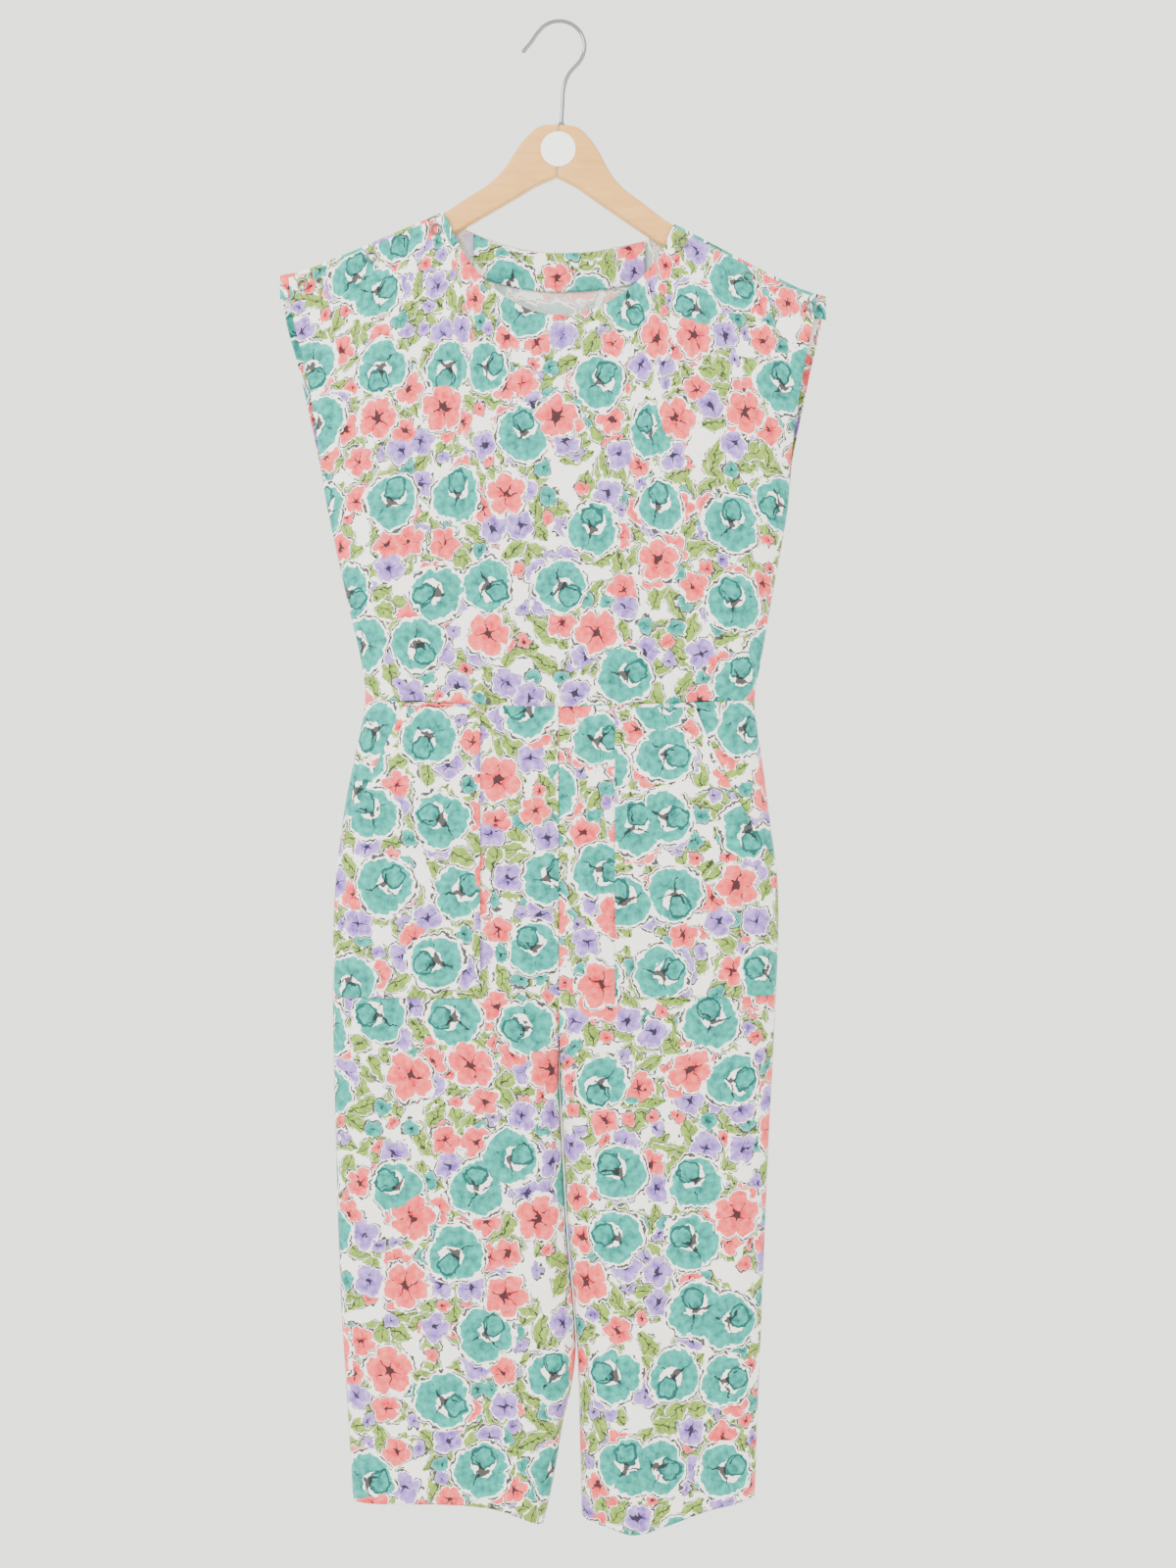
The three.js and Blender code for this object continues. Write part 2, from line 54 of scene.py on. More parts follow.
# ---------------------------------------------------------------------------
# Camera, floor and light. A level view of the hung garment, square to its front,
# in soft daylight from the upper left, over a plain pale floor.
GARMENT_CENTRE = Vector((0.026, -0.015, -0.689))
VIEW_DISTANCE = 1.8
VIEW_HEIGHT = 1.408
SENSOR = 36

camera = bpy.data.objects.new("camera", bpy.data.cameras.new("camera"))
camera.location = GARMENT_CENTRE - Vector((0, VIEW_DISTANCE, 0))
camera.rotation_euler = (math.pi / 2, 0, 0)
camera.data.sensor_width = SENSOR
camera.data.lens = SENSOR * VIEW_DISTANCE / VIEW_HEIGHT
bpy.context.scene.collection.objects.link(camera)
bpy.context.scene.camera = camera


def linear(hex_colour):
    """An sRGB hex colour as linear RGBA."""
    channels = [int(hex_colour[i:i + 2], 16) / 255 for i in (1, 3, 5)]
    return [c / 12.92 if c < 0.04045 else ((c + 0.055) / 1.055) ** 2.4 for c in channels] + [1.0]


def add(tree, kind, *inputs, out=0, at=(), **settings):
    """Adds one node with its settings and links, and returns one of its outputs."""
    kind, _, operation = kind.partition(" ")
    made = tree.nodes.new("ShaderNode" + kind)
    if operation:
        made.operation = operation
    for setting, value in settings.items():
        setattr(made, setting, value)
    for index, value in [*enumerate(inputs), *at]:
        if isinstance(value, bpy.types.NodeSocket):
            tree.links.new(value, made.inputs[index])
        elif value is not None:
            made.inputs[index].default_value = value
    return made.outputs[out]


def new_material(name, **surface):
    """A material with these uniform values on its surface shader, with its tree and that shader."""
    material = bpy.data.materials.new(name)
    material.use_nodes = True
    tree = material.node_tree
    shader = next(n for n in tree.nodes if n.type == "BSDF_PRINCIPLED")
    for socket, value in surface.items():
        shader.inputs[socket.replace("_", " ")].default_value = value
    return material, tree, shader


def mesh_object(name, bm, *materials, smooth_faces=True):
    """Turns a finished bmesh into an object at the origin."""
    mesh = bpy.data.meshes.new(name)
    bm.to_mesh(mesh)
    bm.free()
    for material in materials:
        mesh.materials.append(material)
    piece = bpy.data.objects.new(name, mesh)
    bpy.context.scene.collection.objects.link(piece)
    for polygon in mesh.polygons:
        polygon.use_smooth = smooth_faces
    return piece


# Matt paint, plain and pale.
FLOOR_BELOW = 0.235
FLOOR_HALF = 0.5
bm = bmesh.new()
bmesh.ops.create_grid(bm, x_segments=1, y_segments=1, size=FLOOR_HALF)
bmesh.ops.translate(bm, verts=bm.verts, vec=(0, 0, cad_box[0][2] - FLOOR_BELOW))
floor_paint, _, _ = new_material("floor_matt_paint", Base_Color=linear("#ECEAE4"), Roughness=0.8)
floor = mesh_object("floor", bm, floor_paint)

world = bpy.data.worlds.new("daylight")
bpy.context.scene.world = world
world.use_nodes = True
world.node_tree.nodes["Background"].inputs[0].default_value = linear("#F6F7F1")
world.node_tree.nodes["Background"].inputs[1].default_value = 2.5

# Lamps: a name, where it stands, its size and its watts.
for name, place, size, watts in (
    ("window", (-1.5, -1.6, 0.5), 1.2, 62),
    ("fill", (1.6, -1.8, -0.6), 1.6, 12),
    ("behind", (0.6, 1.8, 0.2), 1.6, 16),
):
    lamp = bpy.data.objects.new(name, bpy.data.lights.new(name, "AREA"))
    lamp.data.size = size
    lamp.data.energy = watts
    lamp.location = place
    lamp.rotation_euler = (GARMENT_CENTRE - Vector(place)).to_track_quat("-Z", "Y").to_euler()
    bpy.context.scene.collection.objects.link(lamp)

# ---------------------------------------------------------------------------
# Wooden hanger. Two flat beech arms, rounded over and clear-lacquered, are butted together
# at the centre. The profile is the distance from the joint, the wood's top and its bottom.
WOOD_THICK = 12
WOOD_TILT = math.radians(2.2)
WOOD_CROWN = -93
WOOD_BEVEL = 3
JOINT_GAP = 0.2
ARM_STEPS = 60
ARM_PROFILE = (
    (0, -93, -140), (17, -95, -148), (28, -104, -155), (37, -116, -161), (45, -130, -166),
    (53, -141, -171), (64, -151, -178), (80, -162, -188), (104, -178.5, -202),
    (150, -200.5, -223), (180, -215, -237), (212, -229.5, -250), (222, -234, -246),
)
SHOULDER_TIP = (247, -240)
ARM_LENGTH = ARM_PROFILE[-1][0]


def row_before(rows, key):
    """Number of the row that a key comes after, where each row's first column is its key."""
    rising = rows[1][0] > rows[0][0]
    i = 0
    while i < len(rows) - 2 and (rows[i + 1][0] < key if rising else rows[i + 1][0] > key):
        i += 1
    return i


def between(rows, column, key):
    """A column's value at a key, on a smooth curve through the rows."""
    i = row_before(rows, key)
    a, b = rows[i], rows[i + 1]
    before, after = rows[max(i - 1, 0)], rows[min(i + 2, len(rows) - 1)]
    span = b[0] - a[0]
    t = min(max((key - a[0]) / span, 0), 1)
    slope_a = (b[column] - before[column]) / (b[0] - before[0])
    slope_b = (after[column] - a[column]) / (after[0] - a[0])
    return (
        (2 * t**3 - 3 * t**2 + 1) * a[column] + (t**3 - 2 * t**2 + t) * slope_a * span
        + (3 * t**2 - 2 * t**3) * b[column] + (t**3 - t**2) * slope_b * span
    )


def straight(pairs, key):
    """Value at a key on straight lines between pairs of key and value."""
    i = row_before(pairs, key)
    (k0, v0), (k1, v1) = pairs[i], pairs[i + 1]
    t = min(max((key - k0) / (k1 - k0), 0), 1)
    return v0 + (v1 - v0) * t


def tilted(x, z):
    """A place on the upright hanger, after it tilts on its hook."""
    drop = z - WOOD_CROWN
    return (x * math.cos(WOOD_TILT) + drop * math.sin(WOOD_TILT),
            WOOD_CROWN - x * math.sin(WOOD_TILT) + drop * math.cos(WOOD_TILT))


# Lacquered beech: pale, even, with fine darker flecks along the arm under a clear coat.
beech, tree, shader = new_material("lacquered_beech", Roughness=0.38, Coat_Weight=0.25, Coat_Roughness=0.2)
place = add(tree, "TexCoord", out="Object")
along_arm = add(tree, "Mapping", place, at=[(3, (25, 60, 160))])
grain = add(tree, "TexNoise", along_arm, at=[(2, 1.6), (3, 5), (8, 0.6)])
pale = add(tree, "Mix", grain, at=[(6, linear("#C98B3C")), (7, linear("#EDB565"))], out=2,
           data_type="RGBA")
tree.links.new(pale, shader.inputs["Base Color"])
relief = add(tree, "Bump", at=[(0, 0.08), (1, 0.0004), (2, grain)])
tree.links.new(relief, shader.inputs["Normal"])

for side, direction in (("right", -1), ("left", 1)):
    steps = [ARM_LENGTH * i / ARM_STEPS for i in range(ARM_STEPS + 1)]
    upper = [(max(x, JOINT_GAP), between(ARM_PROFILE, 1, x)) for x in steps]
    lower = [(max(x, JOINT_GAP), between(ARM_PROFILE, 2, x)) for x in reversed(steps)]
    bm = bmesh.new()
    outline = [bm.verts.new((direction * x * MM, 0, z * MM)) for x, z in upper + lower]
    face = bm.faces.new(outline)
    grown = bmesh.ops.extrude_face_region(bm, geom=[face])
    far = [v for v in grown["geom"] if isinstance(v, bmesh.types.BMVert)]
    bmesh.ops.translate(bm, verts=far, vec=(0, WOOD_THICK * MM, 0))
    bmesh.ops.translate(bm, verts=bm.verts, vec=(0, -WOOD_THICK / 2 * MM, 0))
    bmesh.ops.recalc_face_normals(bm, faces=bm.faces)
    rims = [e for e in bm.edges if len(e.link_faces) == 2
            and abs(e.link_faces[0].normal.y - e.link_faces[1].normal.y) > 0.5]
    bmesh.ops.bevel(bm, geom=rims, offset=WOOD_BEVEL * MM, segments=4, profile=0.5, affect="EDGES",
                    material=-1)
    for vertex in bm.verts:
        x, z = tilted(vertex.co.x / MM, vertex.co.z / MM)
        vertex.co.x, vertex.co.z = x * MM, z * MM
    arm = mesh_object(f"wooden_arm_{side}", bm, beech)
    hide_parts(f"hanger_arm_{side}")
    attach(arm, "root")

# ---------------------------------------------------------------------------
# Hook. A bright chromed steel wire bent to a round eye with a ball tip; its shank enters
# the top of the wood.
WIRE_RADIUS = 1.8
HOOK_RADIUS = 23
HOOK_TIP = (-32, -25)
SHANK_X = 2
BALL_RADIUS = 2.2
COLLAR = {"radius1": 3.4 * MM, "radius2": 2.6 * MM, "depth": 2.4 * MM}

# Chromed steel: a near mirror, kept dark enough to read against the pale room it reflects.
chrome, _, _ = new_material("bright_chrome", Base_Color=linear("#84878B"), Metallic=1.0, Roughness=0.12)

route = [HOOK_TIP, (-26, -18)]
for degrees in range(145, -31, -25):
    angle = math.radians(degrees)
    route.append((HOOK_RADIUS * math.cos(angle),
                  WIRE_RADIUS - HOOK_RADIUS + HOOK_RADIUS * math.sin(angle)))
route += [(9, -46), (4.5, -57), (3, -74), (SHANK_X, WOOD_CROWN + 0.3)]
wire = bpy.data.curves.new("hook_wire", "CURVE")
wire.dimensions = "3D"
wire.bevel_depth = WIRE_RADIUS * MM
wire.bevel_resolution = 5
wire.use_fill_caps = True
spline = wire.splines.new("BEZIER")
spline.bezier_points.add(len(route) - 1)
for point, (x, z) in zip(spline.bezier_points, route):
    point.co = (x * MM, 0, z * MM)
    point.handle_left_type = point.handle_right_type = "AUTO"
hook = bpy.data.objects.new("hook_wire", wire)
bpy.context.scene.collection.objects.link(hook)
wire.materials.append(chrome)
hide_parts("hanger_hook")

bm = bmesh.new()
bmesh.ops.create_uvsphere(bm, u_segments=20, v_segments=12, radius=BALL_RADIUS * MM)
bmesh.ops.translate(bm, verts=bm.verts, vec=(HOOK_TIP[0] * MM, 0, HOOK_TIP[1] * MM))
ball = mesh_object("hook_ball", bm, chrome)

bm = bmesh.new()
bmesh.ops.create_cone(bm, cap_ends=True, segments=28, **COLLAR)
bmesh.ops.translate(bm, verts=bm.verts, vec=(SHANK_X * MM, 0, (WOOD_CROWN + 1.5) * MM))
collar = mesh_object("hook_collar", bm, chrome, smooth_faces=False)
for piece in (hook, ball, collar):
    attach(piece, "root")

# ---------------------------------------------------------------------------
# Sticker. A blank white disc of coated paper with a gummed back, stuck on the front of the
# wood over the joint of the two arms.
STICKER_RADIUS = 15.7
STICKER_THICK = 0.5
STICKER_PLACE = Vector((-0.9, -6.45, -116))
paper, _, _ = new_material("white_coated_paper", Base_Color=linear("#FAFAF8"), Roughness=0.5)
bm = bmesh.new()
bmesh.ops.create_cone(bm, cap_ends=True, segments=64, radius1=STICKER_RADIUS * MM,
                      radius2=STICKER_RADIUS * MM, depth=STICKER_THICK * MM)
bmesh.ops.rotate(bm, verts=bm.verts, matrix=Matrix.Rotation(math.pi / 2, 3, "X"))
bmesh.ops.translate(bm, verts=bm.verts, vec=STICKER_PLACE * MM)
sticker = mesh_object("white_sticker", bm, paper, smooth_faces=False)
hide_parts("hanger_badge")
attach(sticker, "root")

# ---------------------------------------------------------------------------
# Printed cotton. A light plain weave with an allover of loose watercolour flowers and leaves,
# each with a white halo and a broken ink outline. The inside shows the print paler.
INK = linear("#0B0C13")
WHITE = linear("#F8F5EE")
TEAL_BELOW = 0.37
CORAL_BELOW = 0.7
LEAF_HALF = 16
LEAF_HALF_WIDE = 7.5
# Layers of flowers: spacing, looseness, shift, radius, how many are kept, and the first and
# the span of the shares that pick a colour.
FLOWERS = (
    (23, 0.9, 31, 7.5, 0.75, 0.1, 0.9), (36, 0.8, 71, 15, 0.8, 0.4, 0.6),
    (66, 0.75, 5, 22.5, 1.1, 0, 0.52),
)
CUP_FROM = 20


def blossom(tree, place, petals, radius, notch):
    """A flower's own coordinates: its distance from the centre, the share of the way to its
    wavy rim, and how near a direction is to the middle of a petal."""
    parts = add(tree, "SeparateXYZ", place)
    angle = add(tree, "Math ARCTAN2", parts.node.outputs[1], parts)
    turn = add(tree, "Math MULTIPLY", angle, add(tree, "Math MULTIPLY", petals, 0.5))
    lobe = add(tree, "Math ABSOLUTE", add(tree, "Math COSINE", turn))
    lobe = add(tree, "Math POWER", lobe, 0.45)
    rim = add(tree, "Math MULTIPLY", radius, add(tree, "Math MULTIPLY_ADD", add(
        tree, "Math SUBTRACT", lobe, 1), notch, 1))
    distance = add(tree, "VectorMath LENGTH", place, out="Value")
    return distance, add(tree, "Math DIVIDE", distance, rim), lobe


def scatter(tree, points, spacing, looseness, shift):
    """Strews places over the cloth: each point's turned offset from the nearest one, and
    that place's three random shares."""
    moved = add(tree, "VectorMath ADD", points, (shift, shift * 0.7, 0))
    cell = add(tree, "TexVoronoi", moved, at=[(2, 1 / spacing), (8, looseness)], voronoi_dimensions="2D")
    offset = add(tree, "VectorMath SUBTRACT", moved, cell.node.outputs["Position"])
    shares = add(tree, "SeparateColor", cell.node.outputs["Color"]).node.outputs
    turn = add(tree, "Math MULTIPLY", shares[0], 2 * math.pi)
    return add(tree, "VectorRotate", offset, at=[(3, turn)], rotation_type="Z_AXIS"), shares


def three_way(tree, share, first, second, third):
    """One of three colours, by a random share."""
    ramp = add(tree, "ValToRGB", share)
    bands = ramp.node.color_ramp
    bands.interpolation = "CONSTANT"
    bands.elements[0].color = first
    bands.elements[1].position = TEAL_BELOW
    bands.elements[1].color = second
    bands.elements.new(CORAL_BELOW).color = third
    return ramp


def printed_cotton(name, fade):
    """The cloth's material; fade is how far the print sinks into white, as on the inside."""
    material, tree, shader = new_material(name, Roughness=0.86, Sheen_Weight=0.12)
    flat = add(tree, "UVMap", uv_map="Flat")
    drawn = add(tree, "VectorMath SCALE", flat, at=[(3, 1000)])
    shake = add(tree, "TexNoise", drawn, at=[(2, 0.11), (3, 3)], noise_dimensions="2D", out=1)
    shake = add(tree, "VectorMath SUBTRACT", shake, (0.5, 0.5, 0.5))
    points = add(tree, "VectorMath ADD", drawn, add(tree, "VectorMath SCALE", shake, at=[(3, 9)]))
    wash = add(tree, "TexNoise", drawn, at=[(2, 0.16), (3, 4)], noise_dimensions="2D")
    breaks = add(tree, "TexNoise", drawn, at=[(2, 0.09), (3, 2)], noise_dimensions="2D")
    pen_down = add(tree, "Math GREATER_THAN", breaks, 0.44)
    colour = add(tree, "Mix", 0.0, at=[(6, WHITE), (7, WHITE)], out=2, data_type="RGBA")

    # Leaves, 32 mm long, two-tone green with inked veins, strewn twice.
    for spacing, shift in ((29, 11), (33, 57)):
        place, _ = scatter(tree, points, spacing, 0.75, shift)
        parts = add(tree, "SeparateXYZ", place)
        x, y = parts, add(tree, "Math ABSOLUTE", parts.node.outputs[1])
        taper = add(tree, "Math SUBTRACT", 1, add(tree, "Math POWER", add(
            tree, "Math ABSOLUTE", add(tree, "Math DIVIDE", x, LEAF_HALF)), 2.2))
        blade = add(tree, "Math DIVIDE", y, add(tree, "Math MAXIMUM", add(
            tree, "Math MULTIPLY", taper, LEAF_HALF_WIDE), 0.05))
        grown = add(tree, "Math LESS_THAN", blade, 1)
        halo = add(tree, "Math LESS_THAN", blade, 1.3)
        green = add(tree, "Mix", wash, at=[(6, linear("#44681A")), (7, linear("#A3BF4E"))],
                    out=2, data_type="RGBA")
        colour = add(tree, "Mix", halo, at=[(6, colour), (7, WHITE)], out=2, data_type="RGBA")
        colour = add(tree, "Mix", grown, at=[(6, colour), (7, green)], out=2, data_type="RGBA")
        midrib = add(tree, "Math LESS_THAN", y, 0.55)
        slant = add(tree, "Math PINGPONG", add(tree, "Math SUBTRACT", x, y), 3)
        ribs = add(tree, "Math MULTIPLY", add(tree, "Math LESS_THAN", slant, 0.4), pen_down)
        veins = add(tree, "Math MULTIPLY", add(tree, "Math MAXIMUM", midrib, ribs), add(
            tree, "Math LESS_THAN", blade, 0.75))
        edge = add(tree, "Math COMPARE", blade, 1.2, 0.09)
        pen = add(tree, "Math MAXIMUM", veins, add(tree, "Math MULTIPLY", edge, pen_down))
        pen = add(tree, "Math MULTIPLY", pen, 0.92)
        colour = add(tree, "Mix", pen, at=[(6, colour), (7, linear("#141D0E"))], out=2, data_type="RGBA")

    # Florets 13 to 18 mm across, then coral and lilac blossoms 26 to 30 mm across, then large
    # coral flowers, 40 to 46 mm, and teal cups, 47 to 53 mm, over them all.
    for spacing, looseness, shift, size, kept, first, span in FLOWERS:
        place, shares = scatter(tree, points, spacing, looseness, shift)
        kind = add(tree, "Math MULTIPLY_ADD", shares[1], span, first)
        teal = add(tree, "Math LESS_THAN", kind, TEAL_BELOW)
        coral = add(tree, "Math MULTIPLY", add(tree, "Math SUBTRACT", 1, teal), add(
            tree, "Math LESS_THAN", kind, CORAL_BELOW))
        petals = add(tree, "Math MULTIPLY_ADD", coral, 1, add(tree, "Math SUBTRACT", 4, teal))
        radius = add(tree, "Math MULTIPLY_ADD", teal, size * 0.16, add(
            tree, "Math MULTIPLY_ADD", shares[2], size * 0.14, size * 0.88))
        notch = add(tree, "Math MULTIPLY_ADD", teal, -0.16, 0.34)
        distance, share, lobe = blossom(tree, place, petals, radius, notch)
        present = add(tree, "Math LESS_THAN", shares[2], kept)
        deep = three_way(tree, kind, linear("#005A54"), linear("#D3122A"), linear("#5F3C9C"))
        light = three_way(tree, kind, linear("#2FB5A5"), linear("#FF7770"), linear("#BE9CE2"))
        spread = add(tree, "Math MULTIPLY_ADD", wash, 1.5, add(
            tree, "Math MULTIPLY_ADD", share, 0.5, -0.55))
        petal = add(tree, "Mix", spread, at=[(6, deep), (7, light)], out=2, data_type="RGBA")
        reach = add(tree, "Math MULTIPLY", add(tree, "Math LESS_THAN", share, 1.14), present)
        paint = add(tree, "Math MULTIPLY", add(tree, "Math LESS_THAN", share, 0.95), present)
        colour = add(tree, "Mix", reach, at=[(6, colour), (7, WHITE)], out=2, data_type="RGBA")
        colour = add(tree, "Mix", paint, at=[(6, colour), (7, petal)], out=2, data_type="RGBA")
        if size > CUP_FROM:
            # Teal cups: a white gleam between two round petal edges, and a dark inner fold.
            near = add(tree, "VectorMath DISTANCE", place, (6, 2, 0), out="Value")
            far = add(tree, "VectorMath DISTANCE", place, (10, 6, 0), out="Value")
            gleam = add(tree, "Math MULTIPLY", add(tree, "Math LESS_THAN", near, 11), add(
                tree, "Math GREATER_THAN", far, 10.5))
            gleam = add(tree, "Math MULTIPLY", gleam, add(tree, "Math MULTIPLY", teal, paint))
            colour = add(tree, "Mix", gleam, at=[(6, colour), (7, WHITE)], out=2, data_type="RGBA")
            fold = add(tree, "Math MULTIPLY", add(tree, "Math COMPARE", far, 9.4, 1.1), add(
                tree, "Math MULTIPLY", teal, paint))
            colour = add(tree, "Mix", fold, at=[(6, colour), (7, linear("#00504C"))],
                         out=2, data_type="RGBA")
        outline = add(tree, "Math COMPARE", share, 1.07, 0.75 / size)
        outline = add(tree, "Math MULTIPLY", outline, pen_down)
        parting = add(tree, "Math LESS_THAN", add(tree, "Math MULTIPLY", lobe, distance), 0.16 * size)
        parting = add(tree, "Math MULTIPLY", parting, add(tree, "Math LESS_THAN", share, 0.8))
        eye = add(tree, "Math LESS_THAN", distance, add(tree, "Math MULTIPLY", wash, 0.26 * size))
        pen = add(tree, "Math MAXIMUM", outline, add(tree, "Math MAXIMUM", eye, add(
            tree, "Math MULTIPLY", parting, pen_down)))
        pen = add(tree, "Math MULTIPLY", add(tree, "Math MULTIPLY", pen, present), 0.95)
        colour = add(tree, "Mix", pen, at=[(6, colour), (7, INK)], out=2, data_type="RGBA")

    turned = add(tree, "Attribute", attribute_name="turned", out="Fac")
    sunk = add(tree, "Math MULTIPLY", add(tree, "Math SUBTRACT", 1, turned), fade)
    colour = add(tree, "Mix", sunk, at=[(6, colour), (7, linear("#E9E6DF"))], out=2, data_type="RGBA")
    tree.links.new(colour, shader.inputs["Base Color"])

    # Threads 0.5 mm apart are drawn three times as coarse so that they show; the stitch
    # line presses a narrow groove.
    threads = add(tree, "TexNoise", drawn, at=[(2, 0.7), (3, 2)], noise_dimensions="2D")
    stitch = add(tree, "Attribute", attribute_name="stitch", out="Fac")
    height = add(tree, "Math MULTIPLY_ADD", stitch, -1.6, threads)
    relief = add(tree, "Bump", at=[(0, 0.3), (1, 0.0006), (2, height)])
    tree.links.new(relief, shader.inputs["Normal"])
    return material


right_side = printed_cotton("printed_cotton", 0.0)
wrong_side = printed_cotton("printed_cotton_inside", 0.48)

# ---------------------------------------------------------------------------
# Bodice. Front and back are one flat piece each, with narrow turned neck and armhole edges.
# The outline is a height and the right and left sides' x; the depths are how far the cloth
# stands in front of the side seams and behind them.
FRONT, BACK = 1, 2
RIGHT, LEFT = 1, 2
CLOTH = 1.2
GAP = 0.3
SHELL = CLOTH - 0.1
OUTLINE = (
    (-232, -253, 243), (-268, -249, 238), (-311, -238, 229), (-358, -227, 219), (-399, -218, 211),
    (-446, -209, 206), (-529, -191, 191), (-576, -180, 183), (-614, -176, 177), (-663, -185, 183),
    (-715, -195, 190), (-787, -203, 198), (-882, -205, 196), (-1023, -202, 189),
    (-1149, -198, 184), (-1248, -192, 180), (-1365, -185, 176),
)
DEPTHS = (
    (-180, 13, 12), (-300, 17, 13), (-400, 21, 14), (-500, 24, 14), (-614, 22, 13),
    (-700, 28, 17), (-860, 28, 18), (-960, 25, 18), (-1150, 21, 19), (-1365, 20, 20),
)
# Soft folds: from x, z to x, z, half width, rise (a trough when negative).
FRONT_FOLDS = (
    (-222, -264, -140, -240, 14, -2.5), (212, -276, 140, -250, 14, -2.5),
    (-150, -330, -120, -560, 26, 3), (120, -350, 140, -570, 26, 3), (109, -650, 109, -900, 16, 2.5),
    (66, -1120, 68, -1400, 30, 11), (-110, -1000, -100, -1400, 34, 4),
    (-60, -275, -30, -400, 22, -1.8), (85, -300, 40, -470, 18, 1.6), (-190, -330, -170, -450, 12, -2),
    (196, -330, 180, -470, 12, -2), (-30, -430, -62, -600, 20, 2), (20, -700, 30, -940, 13, 1.6),
    (-36, -760, -26, -960, 14, 1.5), (-60, -1000, -48, -1340, 13, -2.5), (130, -960, 138, -1330, 15, -2.5),
    (-160, -930, -150, -1290, 13, -2), (-96, -616, -97, -650, 6, -2.4), (86, -618, 87, -655, 6, -2.6),
)
BACK_FOLDS = (
    (-60, -240, -40, -600, 30, 4), (70, -260, 55, -600, 30, 4), (-100, -640, -95, -1400, 34, 5),
    (100, -640, 95, -1400, 34, 5), (0, -260, 6, -560, 15, -2), (-150, -330, -130, -570, 14, -2),
    (148, -340, 128, -560, 16, -2), (-50, -700, -60, -950, 14, -2), (46, -720, 60, -960, 13, -2),
    (-150, -980, -146, -1320, 14, -2), (146, -1000, 150, -1330, 13, -2),
)
NECK_HALF = 104
NECK_DIP = -268
BACK_NECK_DIP = -205
STRAP_SHOWS = 5
FOLD_AT_TIP = 2.7
LETS_GO = (26, 110)
WAIST = -614
WAIST_SAG = 5
SEAM_LET_IN = 0.5
ARMHOLE_TOP = -300
ARMHOLE_END = -440
ARMHOLE_INSET = 8
ARMHOLE_TURNED = 11
ARMHOLE_STAND = {FRONT: 9, BACK: 7.5}
SIDE_ROUND = 0.2
STITCH_WIDE = 2.5

half_ridge = [(x, top) for x, top, _ in ARM_PROFILE] + [SHOULDER_TIP]
RIDGE = [tilted(-x, z) for x, z in reversed(half_ridge[1:])] + [tilted(x, z) for x, z in half_ridge]
ARM_END = {RIGHT: -RIDGE[1][0], LEFT: RIDGE[-2][0]}
TIP_REACH = {RIGHT: -RIDGE[0][0], LEFT: RIDGE[-1][0]}


def blend(low, high, share):
    return low + (high - low) * share


def smooth(start, stop, value):
    t = min(max((value - start) / (stop - start), 0), 1)
    return t * t * (3 - 2 * t)


def side_of(x):
    return RIGHT if x < 0 else LEFT


def fold_top(x):
    return straight(RIDGE, x) + 2 * GAP + CLOTH


def fold_half(x):
    side = side_of(x)
    return straight([(ARM_END[side], WOOD_THICK / 2 + GAP + CLOTH), (TIP_REACH[side], FOLD_AT_TIP)],
                    abs(x))


def fold_rise(folds, x, z):
    """Sum of the folds at a place, each one fading at its ends."""
    rise = 0
    for x0, z0, x1, z1, width, height in folds:
        run = Vector((x1 - x0, z1 - z0))
        share = min(max(Vector((x - x0, z - z0)).dot(run) / run.length_squared, 0), 1)
        off = (Vector((x - x0, z - z0)) - run * share).length / width
        if off < 3:
            rise += height * math.sin(math.pi * blend(0.08, 0.92, share)) * math.exp(-off * off)
    return rise


def small_relief(x, z, face):
    """Gathers at the waist's elastic, and the slight unevenness of washed cotton."""
    gathered = smooth(58, 92, abs(x)) if face == FRONT else smooth(10, 40, abs(x))
    near_waist = math.exp(-abs(z - WAIST) / (30 if z > WAIST else 24))
    ripple = math.sin(x / 1.75 + 2.1 * math.sin(x / 17 + face)) * (0.7 + 0.5 * math.sin(x / 7.3))
    uneven = noise.noise(Vector((x / 62, z / 95, 3.0 * face)))
    fine = noise.noise(Vector((x / 21, z / 34, 7.0 * face)))
    pinch = 1.3 * math.exp(-(((z - WAIST) / 7) ** 2))
    return 1.9 * gathered * near_waist * ripple + 1.3 * uneven + 0.5 * fine - pinch


def waist_at(x):
    return WAIST - WAIST_SAG * math.cos(math.pi / 2 * min(abs(x) / 176, 1))


def side_round(share):
    t = min(share / SIDE_ROUND, 1)
    return math.sqrt(1 - (1 - t) ** 2) * (0.82 + 0.18 * math.sin(math.pi / 2 * share))


def bodice_edge(face, side, z):
    inset = ARMHOLE_INSET * smooth(ARMHOLE_END, ARMHOLE_TOP, z) if face == FRONT else 0
    edge = between(OUTLINE, side, z)
    return edge - math.copysign(inset, edge)


def bodice_point(face, side, share, z):
    """A place on the bodice; share runs from the side seam to the centre."""
    armhole = smooth(ARMHOLE_END, ARMHOLE_TOP, z)
    x = bodice_edge(face, side, z) * (1 - share)
    rounding = side_round(share)
    lip = blend(GAP / 2, ARMHOLE_STAND[face], armhole)
    folds = FRONT_FOLDS if face == FRONT else BACK_FOLDS
    relief = (fold_rise(folds, x, z) + small_relief(x, z, face)) * rounding
    body = lip + (between(DEPTHS, face, z) - lip) * rounding + relief
    on_fold = fold_half(x) + (2 * GAP + CLOTH if face == FRONT else 0)
    depth = blend(on_fold, body, smooth(*LETS_GO, fold_top(x) - z))
    return Vector((x, -depth if face == FRONT else depth, z))


